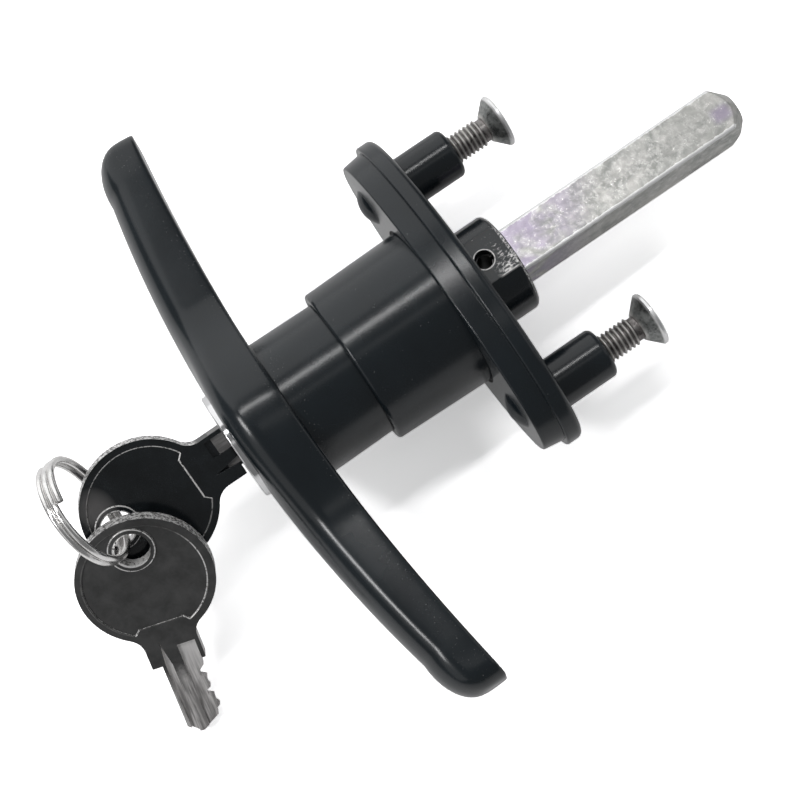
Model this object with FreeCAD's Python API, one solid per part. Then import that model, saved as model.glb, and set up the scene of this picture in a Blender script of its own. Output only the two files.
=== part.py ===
import FreeCAD, Part
import math
import os

V = FreeCAD.Vector
os.makedirs("parts", exist_ok=True)

# Frame: the origin is the centre of the flange's back face, on the lock axis.
# +Y runs from the handle in front to the tip of the square shaft behind.
# +Z is up, along the T-bar and through both posts. All values are millimetres and degrees.

# Base casting
post_spacing = 42.0
post_d = 8.6
post_len = 10.1
post_edge_r = 0.9
flange_len = 60.0
flange_w = 32.6
rim_t = 3.0
rim_back_r = 1.1
rim_front_r = 0.35
plate_t = 3.5
plate_inset = 1.0
plate_draft_deg = 8.0
plate_edge_r = 0.35
collar_front_r = 13.6
collar_foot_r = 14.0
collar_len = 17.3
collar_edge_r = 0.6
foot_groove_w = 0.55
foot_groove_depth = 0.5
bore_lead_in = 0.5
button_r = 3.3
button_h = 1.3

# Handle casting
handle_len = 108.8
handle_front_over_flange = 39.2
handle_t = 10.2
front_arc_r = 220.0
rear_arc_r = 355.0
boss_r = 13.3
arm_root_half_w = 7.4
arm_tip_half_w = 5.9
arm_blend_r = 16.0
crown_h = 2.7
full_crown_t = 8.4
side_draft = 0.25
nose_len = 8.6
nose_depth = 5.3
nose_tuck = 1.6
heel_round = 0.7
boss_flat_rim = 1.1
stem_r = 12.15
stem_neck_r = 11.93
journal_r = 11.9
journal_len = 6.8
middle_r = 10.0
hub_r = 8.62
hub_len = 7.1
hub_edge_r = 1.1
hub_flat_depth = 0.95
hub_flat_start = 0.4

# Fits
run_fit = 0.08
slide_fit = 0.06
light_fit = 0.05
seat_gap = 0.10
lap = 0.1

# Turning limits of the handle
handle_turn_deg = 90.0
stop_lug_half_deg = 9.0
stop_lug_len = 2.0
stop_margin_deg = 1.0

# Parts behind the flange
back_recess_r = 11.6
ledge_t = 2.2
thrust_washer_t = 0.6
wave_washer_t = 0.3
wave_height = 0.5
wave_count = 3
washer_r = 11.2
ring_t = 1.0
ring_outer_r = 10.6
ring_groove_depth = 0.8
ring_below_face = 0.23
ring_gap_deg = 46.0
ring_eye_r = 1.55
ring_eye_hole_r = 0.6

# Square shaft and its cross pin
shaft_side = 8.0
shaft_tip_y = 50.8
shaft_socket_depth = 11.2
shaft_corner_r = 0.35
tip_chamfer_r = 2.7
tip_chamfer_len = 3.05
cross_pin_r = 1.5
cross_pin_wall = 0.3
cross_pin_y = 2.45
cross_pin_recess = 1.4
cross_pin_slot = 0.5

# Screws
screw_r = 2.45
screw_pitch = 0.8
screw_thread_depth = 0.42
screw_point_len = 0.3
screw_head_r = 4.6
screw_head_land = 0.6
screw_head_cone = 2.15
screw_head_edge = 0.18
screw_out = 9.4
screw_len = 20.0
screw_recess_r = 2.3
screw_recess_depth = 1.7
screw_recess_slot = 1.1
post_hole_depth = 16.2
post_hole_mouth = 0.45

# Lock cylinder
shell_r = 8.0
shell_rear_over_floor = 5.7
plug_r = 5.95
plug_head_r = 6.9
plug_head_t = 1.2
bezel_r = 9.3
bezel_proud = 0.6
bezel_lip_t = 1.0
bezel_open_r = 6.4
bezel_skirt_t = 0.5
bezel_skirt_len = 2.2
bezel_edge_r = 0.35
keyway_angle_deg = 35.0
wafer_count = 5
wafer_t = 0.8
wafer_pitch = 1.9
wafer_first = 2.1
wafer_half_w = 3.5
wafer_slim_w = 2.0
wafer_reach = 5.7
wafer_window_gap = 0.15
wafer_channel_reach = 7.1
wafer_ledge = -1.6
wafer_roof = 2.0
spring_coil_r = 0.3
spring_wire_r = 0.1
spring_turns = 4
spring_gap = 0.02

# Cam and locking bolt
cam_r = 7.75
cam_t = 2.6
cam_clear = 0.2
tail_r = 2.4
tail_flat = 1.8
key_turn_deg = 90.0
slot_margin_deg = 15.0
bolt_travel = 2.2
follower_r = 0.9
follower_start = 4.2
follower_len = 4.7
cam_screw_head_r = 2.3
cam_screw_head_t = 1.0
cam_screw_r = 1.1
cam_screw_len = 5.2
cam_screw_slot = 0.6
bolt_half_w = 2.97
bolt_t = 5.9
bolt_tail = 3.0
bolt_reach = 9.9
bolt_floor_y = -14.25
notch_clear = 0.35
notch_side = 0.15

# Keys
bow_r = 11.05
bow_to_neck_end = 15.55
bow_t = 2.3
neck_half_w = 4.35
neck_fillet_r = 3.2
ring_hole_r = 2.8
ring_hole_offset = 5.9
hole_rim_w = 0.85
field_inset = 1.2
field_depth = 0.15
field_chord = 7.9
field_chord_half = 3.7
field_corner = 1.2
neck_clear = 0.5
blade_low = 2.75
blade_high = 3.5
blade_t = 1.8
blade_len = 13.8
mill_back = 3.0
mill_low = 0.7
mill_high = 3.7
mill_web_t = 1.3
groove_start = 4.2
groove_low = -2.2
groove_w = 1.1
groove_depth = 0.5
tooth_land = 0.8
tooth_rise = 0.9
tooth_depths = (1.1, 0.5, 1.2, 0.4, 0.8)
tip_top_run = 1.9
tip_low_run = 1.6
tip_top = -0.3
tip_low = -1.1
finger_len = 0.65
finger_gap = 0.25

# Second key and split ring, placed in the first key's own frame:
# along the key, across it towards the teeth, and out of its face
split_ring_r = 8.95
ring_wire_r = 0.56
ring_coil_pitch = 1.17
ring_half_turns = 4
ring_start_deg = 165.0
split_ring_axis = (-0.956, -0.116, -0.269)
ring_to_key_1 = (0.255, -0.779, -0.572)
hole_1_off_wire = (-0.124, 0.549, 0.413)
key_2_round_ring_deg = 28.76
hole_2_off_wire = (0.301, 1.227, 0.038)
key_2_along = (-0.222, -0.967, -0.125)
key_2_across = (0.959, -0.240, 0.151)

# Places worked out from the sizes above
Y_AXIS = V(0, 1, 0)
ORIGIN = V(0, 0, 0)
plate_front_y = -(rim_t + plate_t)
collar_front_y = plate_front_y - collar_len
handle_front_y = plate_front_y - handle_front_over_flange
handle_rear_y = handle_front_y + handle_t
shoulder_y = collar_front_y + journal_len
ring_rear_y = -ring_below_face
ring_front_y = ring_rear_y - ring_t
wave_front_y = ring_front_y - light_fit - wave_height
back_recess_y = wave_front_y - thrust_washer_t
ledge_y = back_recess_y - ledge_t
middle_bore_r = middle_r + run_fit
hub_bore_r = hub_r + run_fit
journal_bore_r = journal_r + run_fit
ring_groove_r = hub_r - ring_groove_depth
bolt_front_y = bolt_floor_y + seat_gap
bolt_rear_y = bolt_front_y + bolt_t
shell_rear_y = bolt_floor_y - shell_rear_over_floor
cam_front_y = shell_rear_y + cam_clear
cam_rear_y = cam_front_y + cam_t
bezel_front_y = handle_front_y - bezel_proud
plug_front_y = bezel_front_y + bezel_lip_t + light_fit
shell_front_y = plug_front_y + seat_gap
bezel_seat_y = handle_front_y + bezel_skirt_len
socket_front_y = hub_len - shaft_socket_depth
neck_end_y = bezel_front_y - neck_clear
bow_y = neck_end_y - bow_to_neck_end
key_tip_y = neck_end_y + blade_len
post_places = (-post_spacing / 2, post_spacing / 2)


def turn_point(radius, angle_deg, y):
    """A point at an angle counted from +Z towards +X about the lock axis."""
    a = math.radians(angle_deg)
    return V(radius * math.sin(a), y, radius * math.cos(a))


def disc(radius, y0, y1, x=0.0, z=0.0):
    """A cylinder along Y from y0 to y1."""
    return Part.makeCylinder(radius, y1 - y0, V(x, y0, z), Y_AXIS)


def taper(r0, r1, y0, y1):
    """A cone along Y with radius r0 at y0 and r1 at y1."""
    return Part.makeCone(r0, r1, y1 - y0, V(0, y0, 0), Y_AXIS)


def tube(r_in, r_out, y0, y1):
    return disc(r_out, y0, y1).cut(disc(r_in, y0 - 1, y1 + 1))


def block(x0, x1, y0, y1, z0, z1):
    return Part.makeBox(x1 - x0, y1 - y0, z1 - z0, V(x0, y0, z0))


def prism(points, z0, z1):
    """A flat outline in the XY plane, made solid between two heights."""
    corners = [V(x, y, z0) for x, y in points]
    return Part.Face(Part.makePolygon(corners + corners[:1])).extrude(V(0, 0, z1 - z0))


def sector(r_in, r_out, y0, y1, a0, a1):
    """A piece of a ring between two angles about the lock axis."""
    corners = [turn_point(r_in, a0, y0), turn_point(r_out, a0, y0),
               turn_point(r_out, a0, y1), turn_point(r_in, a0, y1)]
    face = Part.Face(Part.makePolygon(corners + corners[:1]))
    return face.revolve(ORIGIN, Y_AXIS, a1 - a0)


def turned(points):
    """A solid turned about the lock axis from (radius, y) points."""
    corners = [V(r, y, 0) for r, y in points]
    face = Part.Face(Part.makePolygon(corners + corners[:1]))
    return face.revolve(ORIGIN, Y_AXIS, 360)


def edges_at_y(shape, y, tol=0.01):
    return [e for e in shape.Edges
            if abs(e.BoundBox.YMin - y) < tol and abs(e.BoundBox.YMax - y) < tol]


def oval(half_len, half_w, y):
    curve = Part.Ellipse(V(0, y, half_len), V(half_w, y, 0), V(0, y, 0))
    return Part.Wire(curve.toShape())


def moved(shape, placement):
    copy = shape.copy()
    copy.Placement = placement.multiply(copy.Placement)
    return copy


def frame_placement(origin, x_dir, y_dir, z_dir):
    matrix = FreeCAD.Matrix(x_dir.x, y_dir.x, z_dir.x, origin.x,
                            x_dir.y, y_dir.y, z_dir.y, origin.y,
                            x_dir.z, y_dir.z, z_dir.z, origin.z,
                            0, 0, 0, 1)
    return FreeCAD.Placement(matrix)


def save(name, shape):
    shape.exportStep("parts/" + name + ".step")
    print(name, len(shape.Solids), round(shape.Volume, 2), shape.isValid())


def fine_coil(radius, pitch, turns, wire_r):
    """Round wire wound as a helix about the local Z axis, from angle zero."""
    path = Part.Wire(Part.makeHelix(pitch, pitch * turns, radius).Edges)
    rise = pitch / (2 * math.pi * radius)
    section = Part.Wire(Part.makeCircle(wire_r, V(radius, 0, 0), V(0, 1, rise)))
    return path.makePipeShell([section], True, True)


def flat_coil(radius, pitch, half_turns, wire_r):
    """Round wire wound about the local Z axis in half turns, each a leaning round arc.

    An arc starts and ends level, so the next one goes on smoothly half a pitch higher."""
    body = None
    for i in range(half_turns):
        side = (-1) ** i
        start = V(side * radius, 0, i * pitch / 2)
        centre = V(0, 0, (i + 0.5) * pitch / 2)
        heading = V(0, side, 0)
        section = Part.Face(Part.Wire(Part.makeCircle(wire_r, start, heading)))
        arc = section.revolve(centre, (start - centre).cross(heading), 180)
        body = arc if body is None else body.fuse(arc)
    return body


def flange():
    """Oval rim with a drafted front plate on it."""
    half_len, half_w = flange_len / 2, flange_w / 2
    rim = Part.Face(oval(half_len, half_w, -rim_t)).extrude(V(0, rim_t, 0))
    rim = rim.makeFillet(rim_back_r, edges_at_y(rim, 0))
    rim = rim.makeFillet(rim_front_r, edges_at_y(rim, -rim_t))
    foot_len, foot_w = half_len - plate_inset, half_w - plate_inset
    shrink = plate_t * math.tan(math.radians(plate_draft_deg))
    plate = Part.makeLoft([oval(foot_len, foot_w, -rim_t + 0.01),
                           oval(foot_len - shrink, foot_w - shrink, plate_front_y)], True, True)
    plate = plate.makeFillet(plate_edge_r, edges_at_y(plate, plate_front_y))
    return rim.fuse(plate)


def button(z):
    """Low dome on the flange's front, over a post."""
    ball_r = (button_r ** 2 + button_h ** 2) / (2 * button_h)
    ball = Part.makeSphere(ball_r, V(0, plate_front_y - button_h + ball_r, z))
    return ball.common(disc(button_r + 1, plate_front_y - button_h - 1, plate_front_y + 0.2, 0, z))


def post(z):
    body = disc(post_d / 2, -1.0, post_len, 0, z)
    return body.makeFillet(post_edge_r, edges_at_y(body, post_len))


def post_hole(z):
    hole_r = screw_r + light_fit
    hole = disc(hole_r, post_len - post_hole_depth, post_len + 1, 0, z)
    mouth = Part.makeCone(hole_r, hole_r + post_hole_mouth, post_hole_mouth,
                          V(0, post_len - post_hole_mouth, z), Y_AXIS)
    return hole.fuse(mouth)


def foot_groove():
    """Narrow groove where the collar meets the front plate."""
    ring = tube(collar_front_r, collar_foot_r + foot_groove_w, plate_front_y - 1,
                plate_front_y + foot_groove_depth)
    return ring.cut(taper(collar_front_r, collar_foot_r + 0.02, collar_front_y, plate_front_y + 1))


def stop_track():
    """Arc in the housing's ledge that the handle's stop lug runs in."""
    first = 180 - stop_lug_half_deg - stop_margin_deg
    last = 180 + handle_turn_deg + stop_lug_half_deg + stop_margin_deg
    return sector(middle_r, journal_bore_r, shoulder_y - 0.2,
                  shoulder_y + stop_lug_len + 2 * seat_gap, first, last)


def bolt_notch(angle):
    """Pocket in the middle bore for the locking bolt's end."""
    half = bolt_half_w + slide_fit + notch_side
    notch = block(-half, half, bolt_front_y - seat_gap, bolt_rear_y + seat_gap,
                  middle_r - 2, bolt_reach + bolt_travel + notch_clear)
    notch.rotate(ORIGIN, Y_AXIS, angle)
    return notch


def base_housing():
    collar = taper(collar_front_r, collar_foot_r, collar_front_y, plate_front_y + 0.5)
    collar = collar.makeFillet(collar_edge_r, edges_at_y(collar, collar_front_y))
    body = flange().fuse(collar)
    body = body.cut(foot_groove())
    for z in post_places:
        body = body.fuse(post(z)).fuse(button(z))
    body = body.cut(disc(journal_bore_r, collar_front_y - 1, shoulder_y + seat_gap))
    body = body.cut(taper(journal_bore_r + bore_lead_in, journal_bore_r,
                          collar_front_y - 0.01, collar_front_y + bore_lead_in))
    body = body.cut(disc(middle_bore_r, shoulder_y, ledge_y))
    body = body.cut(disc(hub_bore_r, ledge_y - 1, 1))
    body = body.cut(disc(back_recess_r, back_recess_y, 1))
    body = body.cut(stop_track())
    for angle in (0.0, handle_turn_deg):
        body = body.cut(bolt_notch(angle))
    for z in post_places:
        body = body.cut(post_hole(z))
    return body


def cross_recess(top):
    """Tapered cross slot in a screw head whose outer face is at top."""
    half = screw_recess_slot / 2
    foot = top - screw_recess_depth
    wings = block(-screw_recess_r, screw_recess_r, foot, top + 1, -half, half)
    wings = wings.fuse(block(-half, half, foot, top + 1, -screw_recess_r, screw_recess_r))
    return wings.common(taper(half, screw_recess_r + half, foot, top + 0.2))


def screw(z):
    """Countersunk machine screw, part way out of its post."""
    top = post_len + screw_out
    y0 = top - screw_len
    head_y = top - screw_head_land
    under_head = head_y - screw_head_cone
    core = screw_r - screw_thread_depth
    rows = int((under_head - screw_pitch - y0) / screw_pitch)
    points = [(0, y0), (core - screw_point_len, y0), (core, y0 + screw_point_len)]
    for i in range(rows):
        y = y0 + screw_point_len + (i + 0.05) * screw_pitch
        points += [(core, y), (screw_r, y + 0.35 * screw_pitch),
                   (screw_r, y + 0.5 * screw_pitch), (core, y + 0.85 * screw_pitch)]
    points += [(core, under_head - 0.1), (screw_r, under_head), (screw_head_r, head_y),
               (screw_head_r, top - screw_head_edge), (screw_head_r - screw_head_edge, top), (0, top)]
    body = turned(points).cut(cross_recess(top))
    body.translate(V(0, 0, z))
    return body


def front_line(z):
    """Front of the T-bar along its length."""
    return handle_front_y + front_arc_r - math.sqrt(front_arc_r ** 2 - z * z)


def rear_line(z):
    """Back of the T-bar along its length, bent towards the door at the ends."""
    return handle_rear_y + rear_arc_r - math.sqrt(rear_arc_r ** 2 - z * z)


def arm_half_width(z):
    return arm_root_half_w + (arm_tip_half_w - arm_root_half_w) * z / (handle_len / 2)


def boss_blend():
    """Height where the boss ends and where the arm begins, with a round blend between."""
    side = arm_root_half_w + arm_blend_r
    arm_z = math.sqrt((boss_r + arm_blend_r) ** 2 - side ** 2)
    return arm_z * boss_r / (boss_r + arm_blend_r), arm_z


def grip_half_width(z):
    """Half width of the T-bar: round boss in the middle, blend, then a tapering arm."""
    boss_z, arm_z = boss_blend()
    if z <= boss_z:
        return math.sqrt(boss_r ** 2 - z ** 2)
    if z < arm_z:
        return arm_half_width(z) + arm_blend_r - math.sqrt(arm_blend_r ** 2 - (arm_z - z) ** 2)
    return arm_half_width(z)


def heel_drop(z):
    """How far the back of the T-bar curves forward at the very end of an arm."""
    past = max(0.0, abs(z) - handle_len / 2 + heel_round)
    return heel_round - math.sqrt(heel_round ** 2 - past ** 2)


def grip_section(z, half_w, front_y):
    """Closed section of the T-bar: flat back, drafted sides and a crowned front."""
    rear_y = rear_line(z) - heel_drop(z)
    side_y = front_y + crown_h * min(1.0, (rear_y - front_y) / full_crown_t)
    a = V(-half_w, rear_y, z)
    b = V(half_w, rear_y, z)
    c = V(half_w - side_draft, side_y, z)
    d = V(-half_w + side_draft, side_y, z)
    crown = Part.Arc(c, V(0, front_y, z), d).toShape()
    return Part.Wire([Part.makeLine(a, b), Part.makeLine(b, c), crown, Part.makeLine(d, a)])


def grip():
    """The T-bar: sections lofted along Z, closer together towards the rounded ends."""
    half = handle_len / 2
    nose_z = half - nose_len
    boss_z, arm_z = boss_blend()
    plain = [0.0, boss_z * 0.4, boss_z * 0.75, boss_z, (boss_z + arm_z) / 2, arm_z]
    plain += [arm_z + (nose_z - arm_z) * share for share in (0.12, 0.3, 0.5, 0.7, 0.87, 1.0)]
    stations = [(z, grip_half_width(z), front_line(z)) for z in plain]
    for degrees in (30, 52, 64, 74, 82, 90):
        a = math.radians(degrees)
        z = nose_z + nose_len * math.sin(a)
        back = 1 - math.cos(a)
        stations.append((z, grip_half_width(z) - nose_tuck * back, front_line(nose_z) + nose_depth * back))
    wires = [grip_section(-z, w, y) for z, w, y in reversed(stations[1:])]
    wires += [grip_section(z, w, y) for z, w, y in stations]
    return Part.makeLoft(wires, True, False)


def handle_casting():
    body = grip()
    body = body.fuse(disc(bezel_r + boss_flat_rim, handle_front_y, handle_front_y + handle_t / 2))
    body = body.fuse(taper(stem_r, stem_neck_r, handle_rear_y - handle_t / 3, collar_front_y))
    body = body.fuse(disc(journal_r, collar_front_y - 0.5, shoulder_y))
    body = body.fuse(disc(middle_r, shoulder_y - 1, ledge_y - seat_gap))
    hub = disc(hub_r, ledge_y - 2, hub_len)
    body = body.fuse(hub.makeFillet(hub_edge_r, edges_at_y(hub, hub_len)))
    lug = sector(middle_r - 0.5, journal_r - 0.2, shoulder_y - 0.5, shoulder_y + stop_lug_len,
                 180 - stop_lug_half_deg, 180 + stop_lug_half_deg)
    body = body.fuse(lug)
    body = body.cut(disc(shell_r + light_fit, handle_front_y - 1, bolt_floor_y))
    body = body.cut(disc(bezel_r + light_fit, handle_front_y - 3, bezel_seat_y + seat_gap))
    slot_half = bolt_half_w + slide_fit
    body = body.cut(block(-slot_half, slot_half, bolt_floor_y - 0.5, bolt_rear_y + seat_gap,
                          -bolt_tail - 3 * seat_gap, middle_r + 1))
    half = shaft_side / 2 + light_fit
    body = body.cut(block(-half, half, socket_front_y - 2 * seat_gap, hub_len + 1, -half, half))
    body = body.cut(cross_hole())
    flat_x = hub_r - hub_flat_depth
    for x0, x1 in ((flat_x, hub_r + 1), (-hub_r - 1, -flat_x)):
        body = body.cut(block(x0, x1, hub_flat_start, hub_len + 1, -hub_r, hub_r))
    return body.cut(tube(ring_groove_r, hub_r + 2, ring_front_y - light_fit, ring_rear_y + light_fit))


def cross_hole():
    return Part.makeCylinder(cross_pin_r + light_fit, 4 * hub_r, V(-2 * hub_r, cross_pin_y, 0), V(1, 0, 0))


def square_shaft():
    half = shaft_side / 2
    body = block(-half, half, socket_front_y, shaft_tip_y, -half, half)
    body = body.makeFillet(shaft_corner_r, [e for e in body.Edges if e.BoundBox.YLength > shaft_side * 2])
    reach = half * math.sqrt(2) + 0.1
    tip = taper(reach, tip_chamfer_r, shaft_tip_y - tip_chamfer_len, shaft_tip_y)
    stock = disc(reach, socket_front_y, shaft_tip_y - tip_chamfer_len).fuse(tip)
    return body.common(stock).cut(cross_hole())


def cross_pin():
    """Slotted spring pin through hub and shaft."""
    half = hub_r - hub_flat_depth - cross_pin_recess
    start = V(-half, cross_pin_y, 0)
    outer = Part.makeCylinder(cross_pin_r, 2 * half, start, V(1, 0, 0))
    inner = Part.makeCylinder(cross_pin_r - cross_pin_wall, 2 * half, start, V(1, 0, 0))
    slot = block(-half - 1, half + 1, cross_pin_y, cross_pin_y + 2 * cross_pin_r,
                 -cross_pin_slot / 2, cross_pin_slot / 2)
    return outer.cut(inner).cut(slot)


def thrust_washer():
    return tube(hub_r + light_fit, washer_r, back_recess_y, back_recess_y + thrust_washer_t)


def wave_curve(radius):
    """Closed curve that rises and falls three times round the ring."""
    rise = (wave_height - wave_washer_t) / 2
    steps = 8 * wave_count
    points = [turn_point(radius, 360 * i / steps,
                         wave_front_y + rise * (1 - math.cos(wave_count * 2 * math.pi * i / steps)))
              for i in range(steps)]
    curve = Part.BSplineCurve()
    curve.interpolate(points, PeriodicFlag=True)
    return Part.Wire(curve.toShape())


def wave_washer():
    inner = wave_curve(hub_r + 2 * run_fit)
    outer = wave_curve(washer_r - 4 * seat_gap)
    return Part.makeRuledSurface(inner, outer).extrude(V(0, wave_washer_t, 0)).Solids[0]


def retaining_ring():
    """External ring in the hub's groove, open on one side, with two eyes."""
    body = tube(ring_groove_r + light_fit, ring_outer_r, ring_front_y, ring_rear_y)
    body = body.cut(sector(1.0, ring_outer_r + 3, ring_front_y - 1, ring_rear_y + 1,
                           90 - ring_gap_deg / 2, 90 + ring_gap_deg / 2))
    eye_turn = ring_gap_deg / 2 + 3
    for angle in (90 - eye_turn, 90 + eye_turn):
        centre = turn_point(ring_outer_r - 0.6 * ring_eye_r, angle, ring_front_y)
        eye = Part.makeCylinder(ring_eye_r, ring_t, centre, Y_AXIS)
        body = body.fuse(eye.cut(disc(hub_r + light_fit, ring_front_y - 1, ring_rear_y + 1)))
    for angle in (90 - eye_turn, 90 + eye_turn):
        centre = turn_point(ring_outer_r - 0.6 * ring_eye_r, angle, ring_front_y - 1)
        body = body.cut(Part.makeCylinder(ring_eye_hole_r, ring_t + 2, centre, Y_AXIS))
    return body


def in_keyway(shape):
    """Turn a solid made with the keyway along Z to the keyway's real angle."""
    shape.rotate(ORIGIN, Y_AXIS, keyway_angle_deg)
    return shape


def wafer_y(index):
    return plug_front_y + wafer_first + index * wafer_pitch


def lock_bezel():
    """Thin plated cap over the front of the cylinder shell."""
    body = disc(bezel_r, bezel_front_y, bezel_seat_y)
    body = body.makeFillet(bezel_edge_r, edges_at_y(body, bezel_front_y))
    body = body.cut(disc(bezel_r - bezel_skirt_t, bezel_front_y + bezel_lip_t, bezel_seat_y + 1))
    return body.cut(disc(bezel_open_r, bezel_front_y - 1, bezel_seat_y))


def lock_shell():
    body = disc(shell_r, shell_front_y, shell_rear_y)
    body = body.fuse(disc(bezel_r - bezel_skirt_t - light_fit, shell_front_y, bezel_seat_y))
    body = body.cut(disc(plug_r + light_fit, shell_front_y - 1, shell_rear_y + 1))
    body = body.cut(disc(plug_head_r + light_fit, shell_front_y - 1,
                         plug_front_y + plug_head_t + light_fit))
    half = wafer_half_w + seat_gap
    channel = block(-half, half, wafer_y(0) - wafer_t / 2 - seat_gap, shell_rear_y + 1,
                    -wafer_channel_reach, wafer_channel_reach)
    return body.cut(in_keyway(channel))


def wafer_outline(half_w, slim_w, y0, y1, reach):
    """Wide lower part and slimmer upper part, which leaves room for the spring."""
    low = block(-half_w, half_w, y0, y1, -reach, wafer_ledge)
    return low.fuse(block(-half_w, slim_w, y0, y1, wafer_ledge - lap, reach))


def keyway_bar(gap, y0, y1):
    half = blade_t / 2 + gap
    return block(-half, half, y0, y1, -blade_low - gap, blade_high + gap)


def lock_plug():
    body = disc(plug_r, plug_front_y, shell_rear_y)
    body = body.fuse(disc(plug_head_r, plug_front_y, plug_front_y + plug_head_t))
    tail = disc(tail_r, shell_rear_y - 1, cam_rear_y - seat_gap)
    flats = block(-tail_flat, tail_flat, shell_rear_y - 2, cam_rear_y + 1, -tail_r, tail_r)
    body = body.fuse(in_keyway(tail.common(flats)))
    body = body.cut(in_keyway(keyway_bar(run_fit, plug_front_y - 1, key_tip_y + 0.5)))
    for i in range(wafer_count):
        y0 = wafer_y(i) - wafer_t / 2 - light_fit
        y1 = wafer_y(i) + wafer_t / 2 + light_fit
        side = wafer_half_w + light_fit
        slot = block(-side, side, y0, y1, -plug_r - 1, wafer_roof)
        slot = slot.fuse(block(-side, wafer_slim_w + light_fit, y0, y1, wafer_roof - lap, plug_r + 1))
        body = body.cut(in_keyway(slot))
    return body.cut(disc(cam_screw_r, cam_rear_y - cam_screw_len - seat_gap, cam_rear_y + 1))


def wafer(index):
    """Flat wafer with a window for the key and a ledge for its spring."""
    y0 = wafer_y(index) - wafer_t / 2
    y1 = wafer_y(index) + wafer_t / 2
    body = wafer_outline(wafer_half_w, wafer_slim_w, y0, y1, wafer_reach + 1)
    body = body.common(disc(wafer_reach, y0 - 1, y1 + 1))
    return in_keyway(body.cut(keyway_bar(wafer_window_gap, y0 - 1, y1 + 1)))


def wafer_spring(index):
    """Small coil between a wafer's ledge and the plug."""
    foot = wafer_ledge + spring_gap + spring_wire_r
    height = wafer_roof - spring_gap - spring_wire_r - foot
    coil = fine_coil(spring_coil_r, height / spring_turns, spring_turns, spring_wire_r)
    coil.translate(V((wafer_slim_w + wafer_half_w) / 2, wafer_y(index), foot))
    return in_keyway(coil)


def spiral_slot():
    """Slot in the cam whose radius grows evenly as the cam turns."""
    half = follower_r + light_fit
    growth = bolt_travel / math.radians(key_turn_deg)
    steps = 10
    inner, outer = [], []
    for i in range(steps + 1):
        turn = -slot_margin_deg + (key_turn_deg + 2 * slot_margin_deg) * i / steps
        radius = follower_start + growth * math.radians(turn)
        spread = half * math.hypot(1, growth / radius)
        inner.append(turn_point(radius - spread, -turn, cam_front_y - 1))
        outer.append(turn_point(radius + spread, -turn, cam_front_y - 1))
    sides = []
    for row in (inner, outer):
        curve = Part.BSplineCurve()
        curve.interpolate(row)
        sides.append(curve.toShape())
    sides.append(Part.makeLine(inner[-1], outer[-1]))
    sides.append(Part.makeLine(outer[0], inner[0]))
    face = Part.Face(Part.Wire(Part.sortEdges(sides)[0]))
    return face.extrude(V(0, cam_t + 2, 0))


def drive_cam():
    body = disc(cam_r, cam_front_y, cam_rear_y)
    flat = tail_flat + light_fit
    hole = disc(tail_r + light_fit, cam_front_y - 1, cam_rear_y + 1)
    hole = hole.common(block(-flat, flat, cam_front_y - 1, cam_rear_y + 1, -2 * tail_r, 2 * tail_r))
    return body.cut(in_keyway(hole)).cut(spiral_slot())


def cam_screw():
    top = cam_rear_y + cam_screw_head_t
    body = disc(cam_screw_head_r, cam_rear_y, top)
    body = body.makeFillet(cam_screw_head_t / 3, edges_at_y(body, top))
    body = body.fuse(disc(cam_screw_r - light_fit, cam_rear_y - cam_screw_len, cam_rear_y + lap))
    half = cam_screw_slot / 2
    return body.cut(block(-cam_screw_head_r, cam_screw_head_r, top - cam_screw_head_t / 2, top + 1,
                          -half, half))


def locking_bolt():
    """Sliding block with a rounded end and a follower stud for the cam's slot."""
    body = block(-bolt_half_w, bolt_half_w, bolt_front_y, bolt_rear_y, -bolt_tail, bolt_reach + 1)
    body = body.common(disc(bolt_reach, bolt_front_y - 1, bolt_rear_y + 1))
    return body.fuse(disc(follower_r, bolt_front_y - follower_len, bolt_front_y + 1, 0, follower_start))


def key_plate():
    """Bow and neck; bow centre at the origin, blade along +X, teeth towards +Y."""
    half_t = bow_t / 2
    body = Part.makeCylinder(bow_r, bow_t, V(0, 0, -half_t))
    neck = Part.makeBox(bow_to_neck_end, 2 * neck_half_w, bow_t, V(0, -neck_half_w, -half_t))
    body = body.fuse(neck).removeSplitter()
    meet_x = math.sqrt(bow_r ** 2 - neck_half_w ** 2)
    corners = [e for e in body.Edges
               if e.BoundBox.ZLength > 0.9 * bow_t and abs(e.BoundBox.XMin - meet_x) < 0.01]
    return body.makeFillet(neck_fillet_r, corners)


def sunk_field():
    """Shallow field inside the bow's border, with a raised rim round the ring hole."""
    radius = bow_r - field_inset
    low = bow_t / 2 - field_depth
    body = Part.makeCylinder(radius, 2 * field_depth, V(0, 0, low))
    corner_x = field_chord + field_corner
    corner_y = field_chord_half + field_corner
    beyond = [(corner_x, -radius), (corner_x, -corner_y), (field_chord, -field_chord_half),
              (field_chord, field_chord_half), (corner_x, corner_y), (corner_x, radius),
              (bow_r + 2, radius), (bow_r + 2, -radius)]
    body = body.cut(prism(beyond, 0, bow_t))
    return body.cut(Part.makeCylinder(ring_hole_r + hole_rim_w, bow_t, V(-ring_hole_offset, 0, 0)))


def toothed_edge(start):
    """Everything above the toothed edge of the blade, with one land for each wafer."""
    top = blade_high
    end = start + blade_len
    points = []
    for i, depth in enumerate(tooth_depths):
        middle = start + wafer_y(i) - neck_end_y
        land_start = middle - tooth_land / 2
        if i == 0:
            points += [(land_start - tooth_land - depth, top + 0.1), (land_start - depth, top)]
        else:
            peak = min(top, top - max(depth, tooth_depths[i - 1]) + tooth_rise)
            points.append((middle - wafer_pitch / 2, peak))
        points += [(land_start, top - depth), (middle + tooth_land / 2, top - depth)]
    points += [(end - tip_top_run, top - tooth_depths[-1]), (end, tip_top),
               (end + 1, tip_top), (end + 1, top + 0.1)]
    return prism(points, -bow_t, bow_t)


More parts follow.
